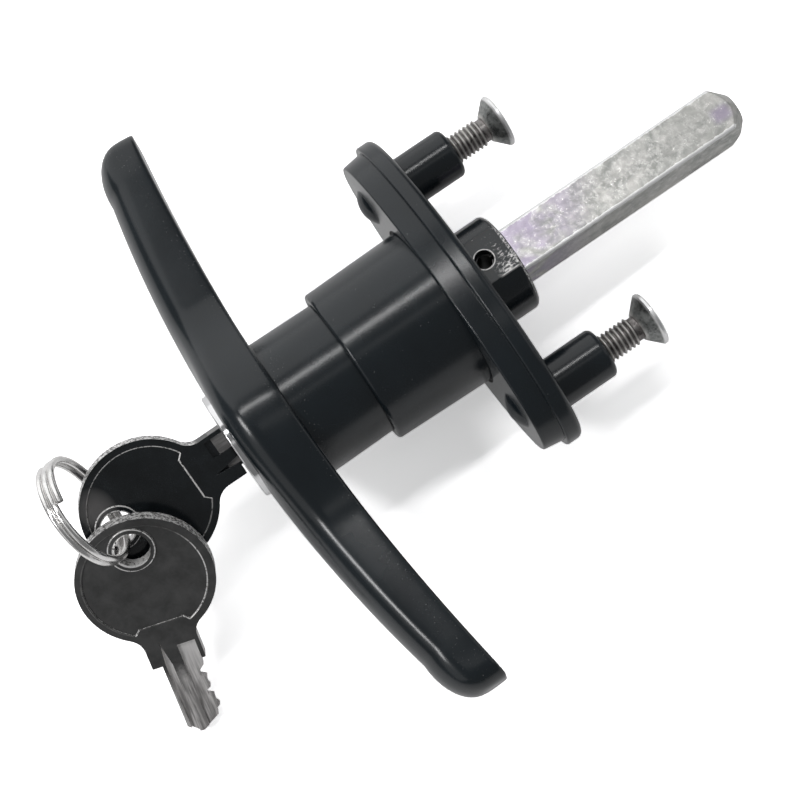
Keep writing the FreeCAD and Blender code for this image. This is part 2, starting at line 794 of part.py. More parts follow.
def lower_tip(start):
    """The slope under the blade's tip."""
    end = start + blade_len
    under = -blade_low - 1
    points = [(end, tip_low), (end - tip_low_run, -blade_low), (end - tip_low_run, under),
              (end + 1, under), (end + 1, tip_low)]
    return prism(points, -bow_t, bow_t)


def face_milling(start):
    """What the cutters take from one face: the step beside the teeth and the groove."""
    end = start + blade_len + 1
    strip_end = start + finger_len + finger_gap
    step = prism([(start - mill_back, mill_low), (end, mill_low), (end, blade_high + 1),
                  (strip_end, blade_high + 1), (strip_end, mill_high),
                  (start - mill_back, mill_high)], mill_web_t / 2, bow_t)
    groove_high = groove_low + groove_w
    groove = prism([(start - groove_start, groove_low + 0.4), (start, groove_high),
                    (end, groove_high), (end, groove_low), (start, groove_low)],
                   blade_t / 2 - groove_depth, bow_t)
    return step.fuse(groove)


def key():
    body = key_plate()
    start = bow_to_neck_end
    blade = Part.makeBox(blade_len + 3, blade_low + blade_high, blade_t,
                         V(start - 3, -blade_low, -blade_t / 2))
    finger = Part.makeBox(finger_len + 1, neck_half_w - mill_high, bow_t,
                          V(start - 1, mill_high, -bow_t / 2))
    body = body.fuse(blade).fuse(finger)
    body = body.cut(toothed_edge(start)).cut(lower_tip(start))
    front = face_milling(start).fuse(sunk_field())
    body = body.cut(front).cut(front.mirror(ORIGIN, V(0, 0, 1)))
    return body.cut(Part.makeCylinder(ring_hole_r, 2 * bow_t, V(-ring_hole_offset, 0, -bow_t)))


def key_frame():
    """First key's placement: blade along +Y, across and out turned with the keyway."""
    across = turn_point(1, keyway_angle_deg, 0)
    return frame_placement(V(0, bow_y, 0), Y_AXIS, across, Y_AXIS.cross(across))


def ring_geometry():
    """Centre, axis and direction to the first key, in the first key's frame."""
    axis = V(*split_ring_axis).normalize()
    spoke = V(*ring_to_key_1)
    spoke = (spoke - axis * spoke.dot(axis)).normalize()
    wire_point = V(-ring_hole_offset, 0, 0) - V(*hole_1_off_wire)
    return wire_point - spoke * split_ring_r, axis, spoke


def ring_point(angle_deg):
    """Point on the ring's middle line and the wire's direction there."""
    centre, axis, spoke = ring_geometry()
    turned_spoke = FreeCAD.Rotation(axis, angle_deg).multVec(spoke)
    return centre + turned_spoke * split_ring_r, axis.cross(turned_spoke)


def split_ring():
    """Turns of round wire side by side, with the ends away from the keys."""
    centre, axis, spoke = ring_geometry()
    coil = flat_coil(split_ring_r, ring_coil_pitch, ring_half_turns, ring_wire_r)
    coil.translate(V(0, 0, -ring_coil_pitch * ring_half_turns / 4))
    first = FreeCAD.Rotation(axis, ring_start_deg).multVec(spoke)
    return moved(coil, key_frame().multiply(frame_placement(centre, first, axis.cross(first), axis)))


def second_key(shape):
    """Hang a key on the ring beside the first."""
    along = V(*key_2_along).normalize()
    across = V(*key_2_across)
    across = (across - along * across.dot(along)).normalize()
    out = along.cross(across)
    wire_point = ring_point(key_2_round_ring_deg)[0]
    off = hole_2_off_wire
    hole = wire_point + along * off[0] + across * off[1] + out * off[2]
    centre = hole + along * ring_hole_offset
    return moved(shape, key_frame().multiply(frame_placement(centre, along, across, out)))


def build():
    save("base_housing", base_housing())
    save("mounting_screws", Part.makeCompound([screw(z) for z in post_places]))
    save("handle_casting", handle_casting())
    save("square_shaft", square_shaft())
    save("cross_pin", cross_pin())
    save("thrust_washer", thrust_washer())
    save("wave_washer", wave_washer())
    save("retaining_ring", retaining_ring())
    save("lock_bezel", lock_bezel())
    save("lock_shell", lock_shell())
    save("lock_plug", lock_plug())
    for i in range(wafer_count):
        save("wafer_" + str(i + 1), wafer(i))
    save("wafer_springs", Part.makeCompound([wafer_spring(i) for i in range(wafer_count)]))
    save("drive_cam", drive_cam())
    save("cam_screw", cam_screw())
    save("locking_bolt", locking_bolt())
    save("key_1", moved(key(), key_frame()))
    save("key_2", second_key(key()))
    save("split_ring", split_ring())
    for name, angle in (("ring in key 1", 0.0), ("key 2 on ring", key_2_round_ring_deg)):
        point, along = ring_point(angle)
        placement = key_frame()
        print(name, placement.multVec(point), placement.Rotation.multVec(along))


build()
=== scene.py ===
"""Looks for the T-handle lock: coated castings, plated steel, keys, light and camera."""

import math

import bmesh
import bpy
from mathutils import Matrix, Vector


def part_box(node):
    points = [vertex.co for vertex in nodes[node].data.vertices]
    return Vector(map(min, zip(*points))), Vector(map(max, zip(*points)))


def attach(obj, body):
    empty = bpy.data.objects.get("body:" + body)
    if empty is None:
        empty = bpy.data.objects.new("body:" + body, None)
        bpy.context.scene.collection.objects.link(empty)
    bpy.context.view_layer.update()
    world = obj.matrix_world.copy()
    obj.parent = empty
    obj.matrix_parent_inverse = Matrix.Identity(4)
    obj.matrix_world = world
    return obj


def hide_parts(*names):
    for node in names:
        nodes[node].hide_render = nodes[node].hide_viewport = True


MM = 0.001

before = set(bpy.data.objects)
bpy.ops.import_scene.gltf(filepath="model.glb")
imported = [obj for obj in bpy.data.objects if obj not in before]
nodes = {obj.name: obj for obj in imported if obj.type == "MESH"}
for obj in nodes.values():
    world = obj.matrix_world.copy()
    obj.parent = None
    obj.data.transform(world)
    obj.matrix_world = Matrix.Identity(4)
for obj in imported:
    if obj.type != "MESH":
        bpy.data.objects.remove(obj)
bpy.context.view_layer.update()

# The photograph's camera, in the part's frame
CAMERA_TURN = math.radians(16.197)
CAMERA_DIP = math.radians(3.889)
CAMERA_ROLL = math.radians(-0.471)
PICTURE_TURN = math.radians(34.75)
CAMERA_TARGET = Vector((0, -20.45, -8.914)) * MM
CAMERA_DISTANCE = 295.16 * MM
CAMERA_CLIP = (0.01, 10.0)
FOCAL_PX = 1871.49
PICTURE_PX = 800
SENSOR_MM = 36.0


def camera_axes():
    """Directions of the photograph: right, down, and from the object to the camera."""
    toward = Vector((math.cos(CAMERA_DIP) * math.cos(CAMERA_TURN), -math.sin(CAMERA_DIP),
                     -math.cos(CAMERA_DIP) * math.sin(CAMERA_TURN)))
    along = toward.cross(Vector((math.sin(CAMERA_TURN), 0, math.cos(CAMERA_TURN)))).normalized()
    if along.y < 0:
        along.negate()
    below = along.cross(toward)
    if below.z > 0:
        below.negate()
    c, s = math.cos(CAMERA_ROLL), math.sin(CAMERA_ROLL)
    return c * along + s * below, c * below - s * along, toward


SHAFTWARD, BELOW, TOWARD = camera_axes()


class Graph:
    """The nodes of a material or a world, built by short calls. Inputs are sockets or values."""

    def __init__(self, owner, output):
        self.owner = owner
        owner.use_nodes = True
        self.tree = owner.node_tree
        self.tree.nodes.clear()
        self.output = self.add(output)

    def add(self, kind, **settings):
        node = self.tree.nodes.new(kind)
        for key, value in settings.items():
            setattr(node, key, value)
        return node

    def feed(self, socket, value):
        if isinstance(value, bpy.types.NodeSocket):
            self.tree.links.new(value, socket)
        else:
            socket.default_value = value

    def fill(self, node, values):
        """First output of a node whose inputs are fed in their order."""
        for socket, value in zip(node.inputs, values):
            self.feed(socket, value)
        return node.outputs[0]

    def math(self, operation, *values):
        return self.fill(self.add("ShaderNodeMath", operation=operation), values)

    def product(self, *values):
        """The values multiplied, or where all of the given masks hold."""
        result = values[0]
        for value in values[1:]:
            result = self.math("MULTIPLY", result, value)
        return result

    def largest(self, *values):
        """The largest value, or where any of the given masks holds."""
        result = values[0]
        for value in values[1:]:
            result = self.math("MAXIMUM", result, value)
        return result

    def distance(self, a, b):
        """How far the point a, b lies from zero."""
        return self.math("SQRT", self.math("ADD", self.math("POWER", a, 2.0),
                                           self.math("POWER", b, 2.0)))

    def shader(self, kind, **inputs):
        """Output of a shader whose inputs are fed by name."""
        node = self.add(kind)
        for name, value in inputs.items():
            self.feed(node.inputs[name.replace("_", " ")], value)
        return node.outputs[0]

    def mix(self, share, a, b):
        return self.fill(self.add("ShaderNodeMixShader"), (share, a, b))

    def both(self, a, b):
        return self.fill(self.add("ShaderNodeAddShader"), (a, b))

    def finish(self, shader):
        self.feed(self.output.inputs["Surface"], shader)
        return self.owner


class Skin(Graph):
    """A material, with the place and the facing of each point on its piece."""

    def __init__(self, name):
        super().__init__(bpy.data.materials.new(name), "ShaderNodeOutputMaterial")
        coords = self.add("ShaderNodeTexCoord")
        self.place = coords.outputs["Object"]
        self.facing = coords.outputs["Normal"]

    def split(self, vector):
        node = self.add("ShaderNodeSeparateXYZ")
        self.feed(node.inputs[0], vector)
        return node.outputs

    def join(self, x, y, z):
        return self.fill(self.add("ShaderNodeCombineXYZ"), (x, y, z))

    def along(self, vector, direction):
        """How far a vector reaches in a direction."""
        node = self.add("ShaderNodeVectorMath", operation="DOT_PRODUCT")
        self.feed(node.inputs[0], vector)
        self.feed(node.inputs[1], tuple(direction))
        return node.outputs["Value"]

    def noise(self, size, detail=4.0, rough=0.55, stretch=None, warp=0.0, where=None):
        """Noise with features about size metres wide, stretched by a scale vector if given."""
        where = self.place if where is None else where
        if stretch is not None:
            where = self.fill(self.add("ShaderNodeVectorMath", operation="MULTIPLY"),
                              (where, stretch))
        return self.shader("ShaderNodeTexNoise", Vector=where, Scale=1.0 / size, Detail=detail,
                           Roughness=rough, Distortion=warp)

    def grade(self, value, low, high, out_low=0.0, out_high=1.0):
        """Clamped map from low..high to out_low..out_high."""
        return self.shader("ShaderNodeMapRange", Value=value, From_Min=low, From_Max=high,
                           To_Min=out_low, To_Max=out_high)

    def band(self, value, centre, half, soft):
        """One near centre, falling to zero beyond half."""
        away = self.math("ABSOLUTE", self.math("SUBTRACT", value, centre))
        return self.grade(away, half, half + soft, 1.0, 0.0)

    def blend(self, factor, a, b):
        node = self.add("ShaderNodeMix", data_type="RGBA")
        for name, value in (("Factor", factor), ("A", a), ("B", b)):
            self.feed(node.inputs[name], value)
        return node.outputs["Result"]

    def bump(self, height, strength, distance, edge_radius):
        """Bumped normal, over edges that are rounded off for the light."""
        edges = self.add("ShaderNodeBevel", samples=4)
        self.feed(edges.inputs["Radius"], edge_radius)
        return self.shader("ShaderNodeBump", Height=height, Strength=strength, Distance=distance,
                           Normal=edges.outputs["Normal"])

    def surface(self, **inputs):
        return self.finish(self.shader("ShaderNodeBsdfPrincipled", **inputs))


def grey(level, tint=(1.0, 1.0, 1.0)):
    return (level * tint[0], level * tint[1], level * tint[2], 1.0)


# Tints of the metals, with the level given where they are used
WARM = (1.0, 0.99, 0.96)
WARM_DARK = (1.0, 0.99, 0.95)
BARE_METAL_TINT = (1.0, 0.98, 0.97)
LILAC = (0.98, 0.86, 1.12)

COAT_LEVEL = 0.012
COAT_TINT = (0.68, 1.0, 1.26)
COAT_ROUGH = (0.19, 0.23)
CAST_EDGE_R = 0.3 * MM


def coat_parts(g):
    """Colour, roughness and normal of the satin black coat, shared by both castings."""
    cloud = g.noise(9 * MM, 3.0)
    grain = g.noise(0.5 * MM, 2.0)
    skin = g.noise(1.6 * MM, 2.0)
    colour = g.blend(g.grade(cloud, 0.35, 0.65), grey(COAT_LEVEL, COAT_TINT),
                     grey(COAT_LEVEL * 1.3, COAT_TINT))
    rough = g.grade(g.math("ADD", g.product(cloud, 0.7), g.product(grain, 0.3)),
                    0.3, 0.7, *COAT_ROUGH)
    height = g.math("ADD", g.product(grain, 0.35), skin)
    return colour, rough, g.bump(height, 0.12, 0.05 * MM, CAST_EDGE_R)


def coated_base():
    """The coat with a few pale flecks of dust."""
    g = Skin("black_coat_base")
    colour, rough, normal = coat_parts(g)
    fleck = g.grade(g.noise(0.7 * MM, 2.0), 0.72, 0.76)
    colour = g.blend(g.product(fleck, 0.12), colour, grey(0.35))
    return g.surface(Base_Color=colour, Roughness=rough, Specular_IOR_Level=0.5, Normal=normal)


# Places on the handle casting: its hub behind the flange, and its neck behind the T-bar
HUB_FROM_Y = 0.2 * MM
HUB_FLAT_X = 7.67 * MM
HUB_FLAT_Z = 3.93 * MM
HUB_FLAT_WORN_Y = 2.6 * MM
HUB_END_Y = 6.75 * MM
HUB_DOTS_TURN = 0.62
PIN_HOLE_Y = 2.45 * MM
PIN_HOLE_RIM_R = 1.68 * MM
NECK_Y = -34.6 * MM


def hub_wear(g, on_flat, spot):
    """Where the hub's coat is rubbed through: flat, lower corner, end, rim of the hole and dots."""
    x, y, z = g.split(g.place)
    streak = g.noise(0.55 * MM, 5.0, 0.75, stretch=(1.0, 0.6, 1.0), warp=0.6)
    needed = g.grade(z, 2.8 * MM, -3.6 * MM, 0.62, 0.44)
    flat = g.product(on_flat, g.grade(y, HUB_FLAT_WORN_Y, HUB_FLAT_WORN_Y + 1.6 * MM),
                     g.grade(g.math("SUBTRACT", streak, needed), 0.0, 0.12))
    corner = g.product(g.band(z, -HUB_FLAT_Z, 0.13 * MM, 0.08 * MM),
                       g.grade(y, 2.8 * MM, 3.6 * MM), g.grade(x, 7.0 * MM, 7.2 * MM))
    dots = g.product(g.grade(spot, 0.69, 0.72),
                     g.band(g.math("ARCTAN2", z, x), HUB_DOTS_TURN, 0.22, 0.1))
    end = g.product(g.band(y, HUB_END_Y, 0.12 * MM, 0.15 * MM), g.grade(spot, 0.44, 0.56))
    from_hole = g.distance(g.math("SUBTRACT", y, PIN_HOLE_Y), z)
    rim = g.product(g.band(from_hole, PIN_HOLE_RIM_R, 0.07 * MM, 0.06 * MM),
                    g.grade(x, 0.0, 1.0 * MM), g.grade(streak, 0.34, 0.46, 0.2, 0.9))
    return g.largest(flat, dots, end, rim, corner)


def coated_handle():
    """The coat, rubbed through to bare metal on the hub and in a few dots on the neck."""
    g = Skin("black_coat_handle")
    colour, rough, normal = coat_parts(g)
    x, y, _ = g.split(g.place)
    spot = g.noise(0.35 * MM, 3.0, 0.6)
    on_hub = g.grade(y, HUB_FROM_Y, HUB_FROM_Y + 0.6 * MM)
    on_flat = g.product(g.grade(x, HUB_FLAT_X - 0.04 * MM, HUB_FLAT_X - 0.01 * MM),
                        g.grade(x, HUB_FLAT_X + 0.04 * MM, HUB_FLAT_X + 0.02 * MM))
    neck = g.product(g.band(y, NECK_Y, 1.4 * MM, 1.2 * MM), g.grade(spot, 0.66, 0.74), 0.35)
    bare = g.largest(g.product(hub_wear(g, on_flat, spot), on_hub), neck)
    colour = g.blend(bare, colour, grey(0.50, BARE_METAL_TINT))
    rough = g.math("ADD", rough, g.product(on_flat, on_hub, 0.18))
    return g.surface(Base_Color=colour, Roughness=rough, Metallic=g.product(bare, 0.9),
                     Normal=normal)


def scratches(g, size, turn, low, high):
    """Fine straight scratches: noise drawn out along a direction that lies turn round from +Y."""
    drawn_out = g.product(g.along(g.place, (0, math.cos(turn), math.sin(turn))), 0.12)
    across = g.along(g.place, (0, -math.sin(turn), math.cos(turn)))
    return g.grade(g.noise(size, 2.0, 0.5, where=g.join(drawn_out, across, turn)), low, high)


# Places on the square shaft
SHAFT_FACE_X = 3.7 * MM
SHAFT_CORNER = 3.42 * MM
LILAC_FROM_Y = 24 * MM
LILAC_FULL_Y = 13 * MM
LILAC_TIP_Y = 47.6 * MM
LILAC_TIP_Z = -0.8 * MM


def zinc_bar():
    """Zinc-plated drawn bar: mottled grey with lilac clouds, fine scratches, and corners painted
    near-white, part worn plating and part painted highlight.
    """
    g = Skin("zinc_bar")
    x, y, z = g.split(g.place)
    cloud = g.noise(5 * MM, 4.0, 0.6, stretch=(1.0, 0.55, 1.0), warp=0.8)
    mottle = g.noise(1.3 * MM, 4.0, 0.7, warp=0.5)
    speck = g.noise(0.22 * MM, 2.0)
    colour = g.blend(g.grade(cloud, 0.38, 0.62), grey(0.27, (0.97, 1.0, 0.95)),
                     grey(0.47, WARM_DARK))
    colour = g.blend(g.grade(mottle, 0.44, 0.66, 0.0, 0.45), colour, grey(0.62, WARM))
    patchy = g.grade(g.noise(7 * MM, 3.0, 0.55, warp=0.6), 0.36, 0.50)
    leaning_y = g.math("SUBTRACT", y, g.product(z, 0.8))
    at_tip = g.product(g.band(y, LILAC_TIP_Y, 0.9 * MM, 1.2 * MM),
                       g.band(z, LILAC_TIP_Z, 0.7 * MM, 1.0 * MM))
    lilac = g.largest(g.product(patchy, g.grade(leaning_y, LILAC_FROM_Y, LILAC_FULL_Y)), at_tip)
    colour = g.blend(g.product(lilac, 0.8), colour, grey(0.36, LILAC))
    lines = g.largest(scratches(g, 0.16 * MM, 0.5, 0.66, 0.72),
                      scratches(g, 0.14 * MM, -0.9, 0.67, 0.73),
                      scratches(g, 0.15 * MM, 1.5, 0.67, 0.73))
    lines = g.product(lines, g.grade(mottle, 0.46, 0.60))
    pricks = g.product(g.grade(speck, 0.60, 0.70), g.grade(mottle, 0.50, 0.64))
    top_face = g.grade(x, SHAFT_FACE_X, SHAFT_FACE_X + 0.1 * MM)
    by_face = g.math("ADD", 0.25, g.product(top_face, 0.55))
    lines = g.product(g.largest(lines, pricks), by_face)
    colour = g.blend(lines, colour, grey(0.92, WARM))
    colour = g.blend(g.grade(speck, 0.34, 0.26, 0.0, 0.35), colour, grey(0.26))
    # Corners painted near-white and less metallic: part worn plating, part painted highlight along
    # the edges
    corner = g.math("MINIMUM", g.math("ABSOLUTE", x), g.math("ABSOLUTE", z))
    ragged = g.math("ADD", corner, g.product(g.math("SUBTRACT", mottle, 0.5), 0.6 * MM))
    wear_and_painted_light = g.grade(ragged, SHAFT_CORNER, SHAFT_CORNER + 0.1 * MM)
    colour = g.blend(wear_and_painted_light, colour, grey(0.95))
    rough = g.math("SUBTRACT", g.grade(mottle, 0.35, 0.7, 0.40, 0.30), g.product(lines, 0.05))
    height = g.math("ADD", mottle, g.product(speck, 0.4))
    return g.surface(Base_Color=colour, Metallic=g.grade(wear_and_painted_light, 0.0, 1.0, 0.85, 0.25),
                     Roughness=rough, Normal=g.bump(height, 0.2, 0.05 * MM, 0.25 * MM))


# Places on the two screws
POST_Z = 21.0 * MM
SCREW_RIM_R = 4.6 * MM
THREAD_END_Y = 17.2 * MM
THREAD_CREST_R = 2.40 * MM


def plated_screw():
    """Zinc screws: dark cone under a rim painted near-white as a painted highlight, brownish thread
    with rubbed crests.
    """
    g = Skin("zinc_screw")
    x, y, z = g.split(g.place)
    stain = g.noise(1.2 * MM, 4.0, 0.65, warp=0.5)
    speck = g.noise(0.3 * MM, 2.0)
    cone = g.blend(g.grade(stain, 0.38, 0.62), grey(0.16, (0.96, 1.0, 0.98)),
                   grey(0.34, (0.97, 1.0, 0.98)))
    cone = g.blend(g.grade(speck, 0.60, 0.70, 0.0, 0.5), cone, grey(0.62))
    radius = g.distance(x, g.math("SUBTRACT", g.math("ABSOLUTE", z), POST_Z))
    # The head's rim is painted near-white: a painted highlight on the land
    rim = g.grade(radius, SCREW_RIM_R - 0.35 * MM, SCREW_RIM_R - 0.15 * MM)
    root = g.blend(g.grade(stain, 0.38, 0.60), grey(0.12, (1.0, 0.92, 0.90)),
                   grey(0.30, (1.0, 0.95, 0.92)))
    crest = g.grade(radius, THREAD_CREST_R - 0.22 * MM, THREAD_CREST_R)
    thread = g.blend(crest, root, grey(0.66, (1.0, 0.98, 0.95)))
    in_thread = g.grade(y, THREAD_END_Y, THREAD_END_Y - 0.6 * MM)
    colour = g.blend(in_thread, g.blend(rim, cone, grey(0.88)), thread)
    return g.surface(Base_Color=colour, Metallic=0.85,
                     Roughness=g.grade(stain, 0.35, 0.65, 0.26, 0.40),
                     Normal=g.bump(stain, 0.15, 0.05 * MM, 0.08 * MM))


def simple_metal(name, level, tint, rough, mottle, edge=0.06 * MM):
    """Plain plated or turned metal with faint stains and fine machining marks."""
    g = Skin(name)
    stain = g.grade(g.noise(2.5 * MM, 4.0, 0.6, warp=0.3), 0.35, 0.68)
    colour = g.blend(stain, grey(level * (1.0 - mottle), tint), grey(level, tint))
    return g.surface(Base_Color=colour, Metallic=1.0,
                     Roughness=g.grade(stain, 0.0, 1.0, rough * 1.25, rough * 0.8),
                     Normal=g.bump(g.noise(0.22 * MM, 2.0), 0.06, 0.03 * MM, edge))


# The keys: a round bow with a sunk field and a hole for the ring, a neck, and a milled blade
BOW_R = 11.05 * MM
BOW_END = 11.0 * MM
RING_HOLE_OFFSET = 5.9 * MM
RING_HOLE_R = 2.8 * MM
HOLE_RIM_R = 3.65 * MM
FIELD_R = 9.85 * MM
FIELD_CHORD = 7.9 * MM
CHORD_HALF = 3.7 * MM
LIT_SIDE_TURN = 1.1
MILLED_DEPTH = 0.80 * MM
NECK_END = 15.55 * MM
# Where a lighter grey painted reflection lies on the first key's bow
SHEEN_CENTRE = (-7.0 * MM, 4.4 * MM)
SHEEN_HALF = (3.2 * MM, 4.2 * MM)
KEYWAY_ANGLE = math.radians(35.0)
KEY_1_MILLED_FROM = 13.7 * MM
KEY_2_MILLED_FROM = 11.2 * MM
KEY_2_BOW = Vector((-2.493, -69.482, -8.797)) * MM
KEY_2_ALONG = Vector((-0.657, -0.222, -0.720))
KEY_2_ACROSS = Vector((-0.014, 0.959, -0.283))


def key_1_frame():
    """The first key's bow centre and its directions along, across and out."""
    along = Vector((0, 1, 0))
    across = Vector((math.sin(KEYWAY_ANGLE), 0, math.cos(KEYWAY_ANGLE)))
    return Vector((0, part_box("key_1")[0].y + BOW_R, 0)), along, across, along.cross(across)


def key_2_frame():
    """The spare key's bow centre and its directions along, across and out."""
    along = KEY_2_ALONG.normalized()
    across = (KEY_2_ACROSS - along * KEY_2_ACROSS.dot(along)).normalized()
    return KEY_2_BOW, along, across, along.cross(across)


def key_lines(g, lx, ly, rub, wear_and_painted_light):
    """Lines where the coat is rubbed through: the sunk field's border and the hole's two rims. The
    border is painted brightest on the side toward the light, a painted highlight, and dimmer on the
    far side, painted shade.
    """
    from_hole = g.distance(g.math("ADD", lx, RING_HOLE_OFFSET), ly)
    from_bow = g.distance(lx, ly)
    off_middle = g.math("ABSOLUTE", ly)
    rim = g.largest(g.band(from_hole, HOLE_RIM_R, 0.07 * MM, 0.05 * MM),
                    g.band(from_hole, RING_HOLE_R, 0.16 * MM, 0.06 * MM))
    slant_x = g.math("ADD", FIELD_CHORD, g.math("SUBTRACT", off_middle, CHORD_HALF))
    past_slant = g.math("SUBTRACT", lx, slant_x)
    # Painted highlight on the border's lit side, painted shade on its far side
    lit_side = g.band(g.math("ARCTAN2", ly, lx), LIT_SIDE_TURN, 0.75, 0.5)
    border = g.product(g.band(from_bow, FIELD_R, 0.07 * MM, 0.05 * MM),
                       g.grade(past_slant, 0.06 * MM, 0.0),
                       g.grade(lit_side, 0.0, 1.0, wear_and_painted_light["far_border_shade"], 1.0))
    chord = g.product(g.band(lx, FIELD_CHORD, 0.10 * MM, 0.05 * MM),
                      g.band(ly, 0.0, CHORD_HALF, 0.1 * MM), wear_and_painted_light["chord"])
    slant = g.product(g.band(past_slant, 0.0, 0.12 * MM, 0.05 * MM),
                      g.band(off_middle, CHORD_HALF + 0.6 * MM, 0.6 * MM, 0.05 * MM),
                      g.grade(from_bow, FIELD_R + 0.08 * MM, FIELD_R))
    return g.product(g.largest(border, chord, rim, slant), g.grade(rub, 0.36, 0.46))


def key_coat(g, lx, ly, cloud, base, sheen_level):
    """The key's black coat, clouded, with one lighter grey painted reflection on the bow."""
    lighter = tuple(min(1.0, 1.7 * c) for c in base[:3]) + (1.0,)
    coat = g.blend(g.grade(cloud, 0.35, 0.7), base, lighter)
    fine = g.noise(0.7 * MM, 3.0, 0.65, warp=0.5)
    coat = g.blend(g.grade(fine, 0.50, 0.66, 0.0, 0.35), coat, lighter)
    # Painted reflection: a soft lighter grey spot on the bow, blended over the coat
    off_x = g.math("DIVIDE", g.math("SUBTRACT", lx, SHEEN_CENTRE[0]), SHEEN_HALF[0])
    off_y = g.math("DIVIDE", g.math("SUBTRACT", ly, SHEEN_CENTRE[1]), SHEEN_HALF[1])
    painted_sheen = g.grade(g.math("ADD", g.math("POWER", off_x, 2.0), g.math("POWER", off_y, 2.0)),
                    1.0, 0.05)
    return g.blend(g.product(painted_sheen, sheen_level), coat, grey(0.13, (1.0, 0.97, 0.97)))


def key_material(name, place, base, coat_rough, wear_and_painted_light):
    """Black key: coat on bow and neck, rubbed to metal along its lines, edges and milled blade,
    with painted light on its lines, bow and window.

    place is the key's frame. wear_and_painted_light gives how bright the chord, the border's
    shaded far side, a painted reflection on the bow and the milled window's painted light are,
    from 0 to 1, and where the bare milling starts.
    """
    g = Skin(name)
    bow, along, across, out = place
    from_bow = g.fill(g.add("ShaderNodeVectorMath", operation="SUBTRACT"), (g.place, tuple(bow)))
    lx, ly = g.along(from_bow, along), g.along(from_bow, across)
    depth = g.math("ABSOLUTE", g.along(from_bow, out))
    side = g.grade(g.math("ABSOLUTE", g.along(g.facing, out)), 0.75, 0.55)
    cloud = g.noise(3.0 * MM, 5.0, 0.65, warp=0.3)
    rub = g.noise(0.5 * MM, 4.0, 0.7)
    # Rubbed lines and edges, painted near-white below; the lines' extra brightness on the lit side
    # is a painted highlight
    rubbed_and_lit_lines = g.largest(key_lines(g, lx, ly, rub, wear_and_painted_light),
                       g.product(side, g.grade(lx, BOW_END + 1.0 * MM, BOW_END),
                                 g.grade(rub, 0.40, 0.56)))
    milled = g.product(g.grade(depth, MILLED_DEPTH + 0.06 * MM, MILLED_DEPTH),
                       g.grade(lx, wear_and_painted_light["milled_from"], wear_and_painted_light["milled_from"] + 0.1 * MM))
    wear_x = g.math("ADD", lx, g.product(g.math("SUBTRACT", cloud, 0.5), 7 * MM))
    tip = g.grade(wear_x, NECK_END + 0.6 * MM, NECK_END + 6.0 * MM)
    bare = g.largest(rubbed_and_lit_lines, milled, tip)
    brushed = g.noise(0.5 * MM, 3.0, 0.5,
                      where=g.join(g.product(lx, 0.09), ly, g.product(depth, 0.3)))
    metal = g.blend(g.grade(brushed, 0.36, 0.64), grey(0.30, (1.0, 0.96, 0.95)),
                    grey(0.84, (1.0, 0.97, 0.96)))
    # The milled window is painted at a set level: dark on the first key as painted shade,
    # near-white on the spare key as a painted highlight
    window = g.product(milled, g.grade(lx, 21 * MM, 13 * MM), 0.9)
    metal = g.blend(window, metal, grey(wear_and_painted_light["window"], BARE_METAL_TINT))
    metal = g.blend(rubbed_and_lit_lines, metal, grey(0.95, (1.0, 0.99, 0.98)))
    colour = g.blend(bare, key_coat(g, lx, ly, cloud, base, wear_and_painted_light["painted_sheen"]), metal)
    rough = g.math("ADD", g.grade(cloud, 0.3, 0.7, coat_rough - 0.03, coat_rough + 0.04),
                   g.product(bare, 0.32 - coat_rough))
    height = g.math("ADD", g.product(brushed, 0.5), g.product(rub, 0.5))
    return g.surface(Base_Color=colour, Metallic=g.product(bare, 0.32), Roughness=rough,
                     Normal=g.bump(height, 0.12, 0.04 * MM, 0.10 * MM))


WELD = 0.0005 * MM


def new_object(name, verts, faces):
    """An object of the given faces, welded and with all of them facing out."""
    mesh = bpy.data.meshes.new(name)
    mesh.from_pydata(verts, [], faces)
    made = bmesh.new()
    made.from_mesh(mesh)
    bmesh.ops.remove_doubles(made, verts=made.verts, dist=WELD)
    bmesh.ops.recalc_face_normals(made, faces=made.faces)
    made.to_mesh(mesh)
    made.free()
    obj = bpy.data.objects.new(name, mesh)
    bpy.context.scene.collection.objects.link(obj)
    return obj


def lofted(name, rings):
    """A solid through closed rings of as many points each, flat at both ends."""
    count = len(rings[0])
    verts = [point for ring in rings for point in ring]
    faces = [tuple(range(count)), tuple(range(len(verts) - count, len(verts)))]
    for first in range(0, len(verts) - count, count):
        for i in range(count):
            a, b = first + i, first + (i + 1) % count
            faces.append((a, b, b + count, a + count))
    return new_object(name, verts, faces)


def shade_smooth(obj, sharp_deg):
    """Smooth shading, broken where two faces meet more sharply than the angle."""
    for face in obj.data.polygons:
        face.use_smooth = True
    obj.data.set_sharp_from_angle(angle=math.radians(sharp_deg))


# The T-bar, finer than its solid: soft edges, round ends, a boss that swells out of the arms
GRIP_HALF = 54.4 * MM
GRIP_T = 10.2 * MM
FRONT_ARC_R = 220.0 * MM
REAR_ARC_R = 355.0 * MM
BOSS_HALF_W = 13.3 * MM
BOSS_REACH = 22.0 * MM
ARM_ROOT_W = 7.4 * MM
ARM_TIP_W = 5.9 * MM
NOSE_LEN = 8.6 * MM
NOSE_DEPTH = 5.3 * MM
NOSE_TUCK = 1.6 * MM
END_ROUND = 3.0 * MM
HEEL_ROUND = 0.7 * MM
CROWN_ARM = 2.7 * MM
CROWN_BOSS = 0.4 * MM
FULL_CROWN_T = 8.4 * MM
FRONT_EDGE_R = 4.0 * MM
FRONT_EDGE_SHARE = 0.6
REAR_EDGE_R = 0.55 * MM
REAR_EDGE_SHARE = 0.3
FLANK_BULGE = 0.60 * MM
BULGE_TOP = 0.4
STEM_CUT_R = 12.5 * MM
STEM_LAP = 0.5 * MM
STEM_END_Y = 20 * MM
SEAT_R = 9.35 * MM
SEAT_DEPTH = 2.3 * MM
BORE_R = 8.05 * MM
CUT_PAST = 3 * MM
